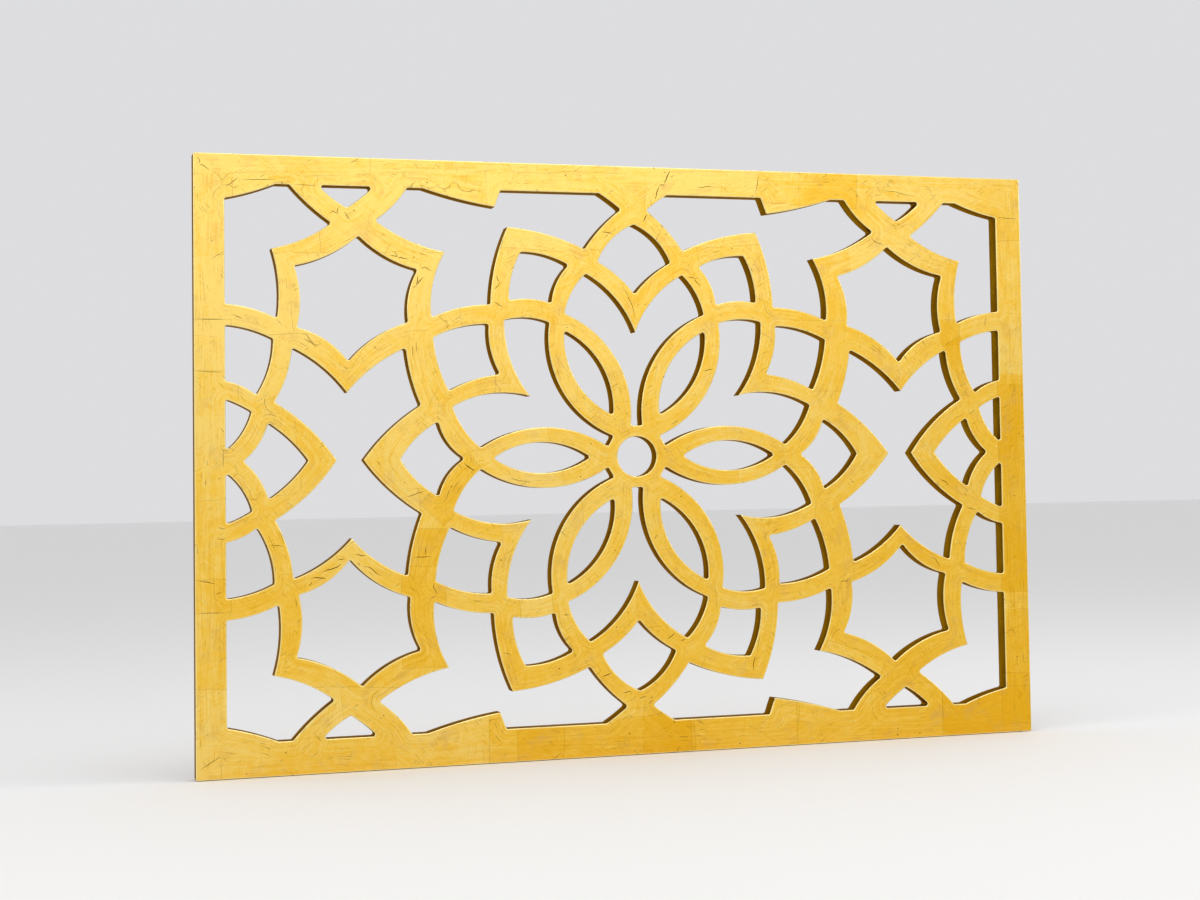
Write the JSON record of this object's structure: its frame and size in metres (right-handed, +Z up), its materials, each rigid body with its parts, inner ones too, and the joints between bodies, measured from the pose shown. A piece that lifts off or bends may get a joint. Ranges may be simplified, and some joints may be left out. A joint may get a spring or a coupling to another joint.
{
  "type": "pierced screen panel",
  "caption": "Rectangular gilded board pierced with a petalled rosette and interlaced star strapwork inside a plain integral rim, to be hung or built in.",
  "frame": {"origin": "on the flat back face, at the middle of the top rim, where the screen is fixed", "axes": "+X along the width, +Y out of the back towards what holds the screen, +Z up; the gilded face looks to -Y"},
  "size_m": [0.873, 0.019, 0.6],
  "materials": {
    "gilded_board": "gold leaf over a primed board, semi-gloss, with visible laps, fine cracks and duller cut edges"
  },
  "bodies": {
    "root": {"panel": "gilded_board"}
  },
  "joints": []
}
